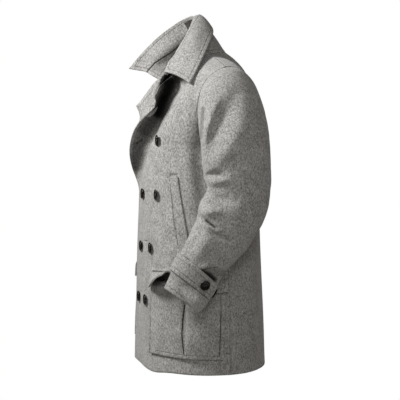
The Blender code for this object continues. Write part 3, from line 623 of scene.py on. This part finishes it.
# painted shade of the hollows, as the picture shows them: middle line, half width, how dark
HOLLOW_SHADE = ((((163, 80), (171, 82), (167, 91), (162, 102), (158, 113)), 9.0, 1.0),
                (((158, 113), (151, 122), (145, 131)), 8.5, 0.8),
                (((145, 131), (139, 146), (135, 165)), 7.5, 0.62))
# painted shade where the right lapel goes under the collar, and under the left flap's lifted edge
FAR_LAPEL_SHADE = ((((169, 76), (166, 84), (161, 93)), 6.0, 1.0),)
FLAP_SHADE = ((((156, 281), (167, 275)), 5.5, 0.8),)
TOP_RISE = 0.018                     # the edge under the collar reaches this much higher
CORNER_DROP = 0.008                  # the hem hangs this much lower beside the front edge
FLAP_RISE = 0.013
FAR_SETTLE = 0.0045
FAR_LAPEL_RISE = 0.011


def under_collar(levels):
    """1 for cloth well below the collar, falling to 0 where the collar holds it."""
    return ramp(levels, -0.045, -0.065)


def press_hollow(points):
    """Presses the cloth behind the left lapel back, and shapes the front's top edge and hem corner."""
    levels, depths = np.array(HOLLOW).T
    depth = np.interp(points[:, 2], levels, depths) * MM
    behind = ramp(points[:, 1], -0.136, -0.118)
    beside = ramp(points[:, 0], 0.168, 0.123)
    points[:, 1] += depth * behind * beside * beside * (3 - 2 * beside) * (points[:, 0] > 0)
    top = ramp(points[:, 2], -0.112, -0.072) * ramp(points[:, 0], 0.150, 0.120) * (points[:, 0] > 0.07)
    points[:, 2] += TOP_RISE * top * under_collar(points[:, 2])
    corner = ramp(points[:, 2], -0.70, -0.78)
    points[:, 2] -= CORNER_DROP * corner * np.exp(-((in_picture(points)[:, 0] - 152) / 13) ** 2)


def lift_flap(points):
    """The left flap's lower edge is pushed up by the cuff and stands open there."""
    seen = in_picture(points)
    low = ramp(seen[:, 1], 266, 275)
    points[:, 2] += FLAP_RISE * low * np.exp(-((seen[:, 0] - 171) / 7) ** 4)


def settle_far(points):
    """The right pocket, flap and welt lie closer to their front than in the solids."""
    near = ramp(points[:, 0], -0.30, -0.15)
    points += body_outward(points) * (-FAR_SETTLE * near)[:, None]


def raise_far_lapel(points):
    """The right lapel's top edge reaches up to the collar."""
    top = ramp(points[:, 2], -0.125, -0.085) * ramp(points[:, 1], -0.055, -0.075)
    points[:, 2] += FAR_LAPEL_RISE * top * under_collar(points[:, 2])


print("shapes ready: hollow, flap, far lapel, far pocket")

# %% [markdown]
# ## Making the body
# Slits, seams and rows of stitching are lines of the picture laid on each piece; the slits are coloured
# almost black as painted shade. The patch pocket has an open pleat down its middle, the welt a stitched
# frame, and the left front three worked buttonholes that show and one in its lapel.

# %% Fronts, back and what is sewn on them
BODY_FOLDS = ((((199.5, 138), (199.5, 152), (201, 170), (204, 190), (204, 212)), 9.0, -14.0),)
LAPEL_HOLE = ((136, 143.5), (142, 140))
BUTTONHOLES = (((144, 192), (149, 191)), ((142.5, 241), (147.5, 240.5)), ((140, 291), (145, 291)))
WELT_ROWS = (((170, 174.5), (177, 174.5)), ((170, 174.5), (171, 190), (174, 221), (178, 245)))
PLEAT = ((185, 305), (183, 320), (182, 335), (184, 354))
POCKET_SIDE = ((220.3, 287), (220.8, 320), (219.6, 357))
FLAP_CREASE = ((153, 271), (165, 271.5))
POCKET_FRONT_EDGE = 0.03             # this much of a pocket's front side shows no stitches

pieces = {}
for side_name, fine, side in (("left", 3, 1), ("right", 2, -1)):
    armhole = LEFT_ARMHOLE if side > 0 else RIGHT_ARMHOLE
    piece, rim = body_piece(side_name + "_front", fine, BODY_FOLDS if side > 0 else (), side,
                            press_hollow if side > 0 else raise_far_lapel)
    # painted shade: the buttonholes are slits coloured almost black, and the hollows get their painted shade
    mark_lines(piece, rim, stitched=on_front_edge, seam=armhole, rows=lines_on(piece, side, *WELT_ROWS),
               slit=lines_on(piece, side, LAPEL_HOLE, *BUTTONHOLES) if side > 0 else [],
               painted_shade=shade_of(piece, HOLLOW_SHADE + FLAP_SHADE if side > 0 else FAR_LAPEL_SHADE))
    finish_mesh(piece)
    pieces[side_name + "_front"] = piece
    for part in ("pocket", "flap", "welt"):
        near_shape = lift_flap if part == "flap" else None
        piece, rim = body_piece(side_name + "_" + part, fine, side=side,
                                shape=settle_far if side < 0 else near_shape)
        # painted shade: the pleat and the left flap's crease are slits coloured almost black
        opened = {"pocket": (PLEAT,), "flap": (FLAP_CREASE,) if side > 0 else ()}.get(part, ())
        inner = abs(points_of(piece.data)[:, 0]).min() + POCKET_FRONT_EDGE
        mark_lines(piece, rim, slit=lines_on(piece, side, *opened),
                   seam=lines_on(piece, side, POCKET_SIDE) if part == "pocket" else [],
                   stitched={"welt": lambda p: False, "pocket": lambda p: abs(p.x) > inner}.get(part),
                   painted_shade=shade_of(piece, FLAP_SHADE) if side > 0 and part == "pocket" else None)
        finish_mesh(piece)
        pieces[side_name + "_" + part] = piece
piece, rim = body_piece("back", 2)
mark_lines(piece, rim, stitched=lambda p: False, seam=LEFT_ARMHOLE + RIGHT_ARMHOLE)
finish_mesh(piece)
pieces["back"] = piece
pieces["left_sleeve"], pieces["right_sleeve"] = left_sleeve, right_sleeve
print("body pieces:", len(pieces))

# %% [markdown]
# ## Collar, straps and label
# The collar is one long piece that stands at the back and folds over at the left; a crease runs along
# its right half, where stand and fall meet, drawn as a slit whose painted shade colours it almost black.
# The cuff straps are doubled cloth, stitched all round. The label is a short woven ribbon.

# %% Collar, straps and label
COLLAR_CREASE = ((186, 40), (172, 52), (155, 63), (147, 72))
COLLAR_FOLDS = ((((197, 24), (193, 36), (189, 50)), 8.0, 6.0),)


def plain_piece(node, levels, crease=(), folds=()):
    """A piece that keeps its solid's shape, apart from a few folds, and is only rounded."""
    piece, rim = soft_wall(node, levels)
    points = points_of(piece.data)
    relief(points, folds, 1, ramp(points[:, 0], 0, 0.02))
    move_to(piece, points)
    # painted shade: the crease on the right half is a slit coloured almost black
    right_half = [place for place in laid_on(piece, crease) if place.x < 0] if crease else []
    mark_lines(piece, rim, slit=right_half)
    finish_mesh(piece)
    return piece


pieces["collar"] = plain_piece("collar", 3, COLLAR_CREASE, COLLAR_FOLDS)
pieces["left_cuff_strap"] = plain_piece("left_cuff_strap", 3)
pieces["right_cuff_strap"] = plain_piece("right_cuff_strap", 2)

WAVE_TURN = 20                       # radians that a wave texture's scale of 1 turns through in a metre
# woven ribbon: soft cross ribs, whose wave turns one radian in 1.2 mm, so they lie 7.5 mm apart
ribbon, tree, weave, where = new_material("label_ribbon_woven", 0.75)
ribs = add_node(tree, "ShaderNodeTexWave",
                {"Scale": 1 / (1.2 * MM) / WAVE_TURN, "Distortion": 1.0, "Detail": 1.0}, {"Vector": where})
tone = add_node(tree, "ShaderNodeMix", {"data_type": 'RGBA', 6: srgb("#1d1a18"), 7: srgb("#37322e")},
                {0: ribs.outputs["Fac"]})
tree.links.new(tone.outputs[2], weave.inputs["Base Color"])
ribbed = add_node(tree, "ShaderNodeBump", {"Strength": 0.5, "Distance": 0.4 * MM},
                  {"Height": ribs.outputs["Fac"]})
tree.links.new(ribbed.outputs[0], weave.inputs["Normal"])
label = plain_piece("collar_label", 2)
label.data.materials.clear()
label.data.materials.append(ribbon)
print("collar points:", len(pieces["collar"].data.vertices))

# %% [markdown]
# ## Buttons
# The buttons are turned from horn: a raised, rounded rim, a dished middle with four drilled holes, and a
# polish that throws small bright reflections. Two bars of dark thread cross between the holes.

# %% Horn and thread
# horn grows in streaks, here 3 mm wide and four times as long
HORN, tree, polish, where = new_material("horn_polished", 0.13)
polish.inputs["Specular IOR Level"].default_value = 0.22
grown = add_node(tree, "ShaderNodeMapping", {"Scale": (1, 1, 0.25)}, {"Vector": where})
streak = add_node(tree, "ShaderNodeTexNoise", {"Scale": 1 / (3 * MM), "Detail": 4.0, "Distortion": 1.2},
                  {"Vector": grown.outputs[0]})
tone = add_node(tree, "ShaderNodeValToRGB", {}, {"Fac": streak.outputs["Fac"]})
for element, position, colour in zip(tone.color_ramp.elements, (0.42, 0.72), ("#080605", "#1d1612")):
    element.position, element.color = position, srgb(colour)
tree.links.new(tone.outputs["Color"], polish.inputs["Base Color"])
worn = add_node(tree, "ShaderNodeBump", {"Strength": 0.15, "Distance": 0.3 * MM},
                {"Height": streak.outputs["Fac"]})
tree.links.new(worn.outputs[0], polish.inputs["Normal"])

# waxed thread: two dark greys that turn into each other slantwise along it
THREAD, tree, twist, where = new_material("thread_waxed_twisted", 0.55)
plies = add_node(tree, "ShaderNodeTexWave",
                 {"Scale": 1 / (0.6 * MM) / WAVE_TURN, "bands_direction": 'DIAGONAL'}, {"Vector": where})
tone = add_node(tree, "ShaderNodeMix", {"data_type": 'RGBA', 6: srgb("#24211f"), 7: srgb("#5a544e")},
                {0: plies.outputs["Fac"]})
tree.links.new(tone.outputs[2], twist.inputs["Base Color"])
print("materials:", HORN.name, THREAD.name)

# %% [markdown]
# A turned disc is drawn by spinning half of its section round its axis, just as the lathe cuts it. The
# holes are then drilled by taking four rods away from it.

# %% Buttons
# section of a button: out from the middle, in radii, and up, in thicknesses
SECTION = ((0.0, 0.0), (0.80, 0.0), (0.95, 0.16), (1.0, 0.46), (0.97, 0.80), (0.88, 1.0), (0.77, 0.97),
           (0.68, 0.74), (0.58, 0.58), (0.40, 0.50), (0.0, 0.46))
# in radii: how far a hole lies sideways and up from the middle, its own radius, and the thread's radius
HOLE_OUT, HOLE_RADIUS, THREAD_RADIUS = 0.19, 0.085, 0.055
THREAD_LENGTH = 2.1 * HOLE_OUT       # from hole to hole
THREAD_LEVEL = 0.54                  # of the thickness: on the dished middle


def turned_disc(name, radius, thick):
    """The button's body on +Z, spun from its outline."""
    bm = bmesh.new()
    line = [bm.verts.new((r * radius, 0, h * thick)) for r, h in SECTION]
    edges = [bm.edges.new(pair) for pair in zip(line, line[1:])]
    bmesh.ops.spin(bm, geom=line + edges, cent=(0, 0, 0), axis=(0, 0, 1), angle=2 * math.pi, steps=48,
                   use_merge=True)
    bmesh.ops.remove_doubles(bm, verts=bm.verts, dist=0.00001)
    bmesh.ops.recalc_face_normals(bm, faces=bm.faces)
    solid = bpy.data.objects.new(name, bpy.data.meshes.new(name))
    bm.to_mesh(solid.data)
    bm.free()
    return solid


def button_mesh(name, radius, thick):
    """A four-hole button with its thread."""
    solid = turned_disc(name, radius, thick)
    bm = bmesh.new()
    out = HOLE_OUT * radius
    hole, thread = HOLE_RADIUS * radius, THREAD_RADIUS * radius
    for x, y in ((1, 1), (1, -1), (-1, 1), (-1, -1)):
        bmesh.ops.create_cone(bm, cap_ends=True, segments=14, radius1=hole, radius2=hole, depth=thick * 3,
                              matrix=Matrix.Translation((out * x, out * y, 0)))
    drill = bpy.data.objects.new(name + "_drill", bpy.data.meshes.new(name + "_drill"))
    bm.to_mesh(drill.data)
    bm.free()
    for made in (solid, drill):
        bpy.context.scene.collection.objects.link(made)
    cut = solid.modifiers.new("Holes", 'BOOLEAN')
    cut.operation, cut.object, cut.solver = 'DIFFERENCE', drill, 'EXACT'
    mesh = bpy.data.meshes.new_from_object(solid.evaluated_get(bpy.context.evaluated_depsgraph_get()))
    for made in (solid, drill):
        bpy.data.objects.remove(made)
    mesh.materials.clear()
    mesh.materials.append(HORN)
    mesh.materials.append(THREAD)
    bm = bmesh.new()
    bm.from_mesh(mesh)
    for y in (-out, out):
        lying = Matrix.Translation((0, y, thick * THREAD_LEVEL)) @ Matrix.Rotation(math.pi / 2, 4, 'Y')
        bar = bmesh.ops.create_cone(bm, cap_ends=True, segments=10, radius1=thread, radius2=thread,
                                    depth=THREAD_LENGTH * radius, matrix=lying)
        for face in {f for v in bar["verts"] for f in v.link_faces}:
            face.material_index = 1
    bm.to_mesh(mesh)
    bm.free()
    mesh.name = name
    return mesh


def frame_of(node):
    """A round node's middle, and the way it faces, up to its sign."""
    places = points_of(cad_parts[node].data)
    middle = places.mean(axis=0)
    ways = np.linalg.svd(places - middle, full_matrices=False)[2]
    return Vector(middle), Vector(ways[2])


# front buttons tip on their thread towards straight ahead, the left column more than the right
LEFT_TILT, RIGHT_TILT = math.radians(24), math.radians(6)
COLUMN_SPLIT = 0.04                  # the left column lies further to the wearer's left than this
THREAD_GAP = {"front": 0.8 * MM, "cuff": 0.0}
THICK = {"front": 4.2 * MM, "cuff": 4.0 * MM}
BUTTONS = {"front": button_mesh("front_button", 14 * MM, THICK["front"]),
           "cuff": button_mesh("cuff_button", 12 * MM, THICK["cuff"])}
AHEAD = Vector((0, -1, 0))
for number, name in enumerate(sorted(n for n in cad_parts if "_button_" in n)):
    middle, way = frame_of(name)
    kind = "cuff" if "_cuff_" in name else "front"
    if kind == "front":
        way = -way if way.y > 0 else way
        shift = Vector(body_outward(np.array([middle]))[0]) * float(body_shift(np.array([middle]))[0])
        tilt = LEFT_TILT if middle.x > COLUMN_SPLIT else RIGHT_TILT
        way = way.slerp(AHEAD, min(1.0, tilt / max(way.angle(AHEAD), 0.01)))
    else:
        arm = Vector(LEFT_ARM[-3] if middle.x > 0 else RIGHT_ARM[-3])
        way = -way if way.dot(middle - arm) < 0 else way
        shift = Vector()
    mesh = BUTTONS[kind].copy()
    turn = Matrix.Rotation(math.radians(20 + 37 * number), 4, 'Z')
    facing = Vector((0, 0, 1)).rotation_difference(way).to_matrix().to_4x4()
    seat = middle + shift + way * (THREAD_GAP[kind] - THICK[kind] * 0.5)
    mesh.transform(Matrix.Translation(seat) @ facing @ turn)
    mesh.shade_smooth()
    mesh.set_sharp_from_angle(angle=math.radians(40))
    piece = bpy.data.objects.new(name + "_horn", mesh)
    bpy.context.scene.collection.objects.link(piece)
    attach(piece, "root")
    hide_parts(name)
print("buttons placed:", number + 1)

# %% [markdown]
# ## What each piece was cut to
# Every cloth piece is listed with the size it was cut to before sewing, and its flat area where the cut
# is not a rectangle; the script prints that area next to the cloth's area now. The pocket is cut wider than
# it shows, for its pleat.

# %% Sheets
# piece: flat width and length, flat area, how it is held, what carries it
CUTS = {
    "left_front": ((0.42, 0.86), 0.2585, "hung", ("collar", "back")),
    "right_front": ((0.50, 0.86), 0.3225, "hung", ("collar", "back")),
    "back": ((0.62, 0.87), 0.4723, "hung", ("collar", "left_front", "right_front")),
    "left_sleeve": ((0.48, 0.67), 0.2260, "hung", ("left_front", "back")),
    "right_sleeve": ((0.48, 0.67), 0.2320, "hung", ("right_front", "back")),
    "collar": ((0.14, 0.58), 0.0630, "folded", ("left_front", "right_front", "back")),
    "left_cuff_strap": ((0.044, 0.215), 0.0088, "stretched", ("left_sleeve",)),
    "right_cuff_strap": ((0.044, 0.215), 0.0088, "stretched", ("right_sleeve",)),
    "left_pocket": ((0.250, 0.200), 0.0435, "stretched", ("left_front",)),
    "right_pocket": ((0.250, 0.200), 0.0431, "stretched", ("right_front",)),
    "left_flap": ((0.226, 0.068), 0.0130, "hung", ("left_front",)),
    "right_flap": ((0.226, 0.068), 0.0141, "hung", ("right_front",)),
    "left_welt": ((0.027, 0.205), 0.0051, "stretched", ("left_front",)),
    "right_welt": ((0.027, 0.205), 0.0051, "stretched", ("right_front",)),
}


def half_area(mesh):
    """One face of a wall: half its whole surface."""
    return sum(p.area for p in mesh.polygons) / 2


for node, (flat, area, held, carried_by) in CUTS.items():
    piece = pieces[node]
    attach(piece, "root")
    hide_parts(node)
    print(node, "cut", area, "now", round(half_area(piece.data), 4))
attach(label, "root")
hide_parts("collar_label")
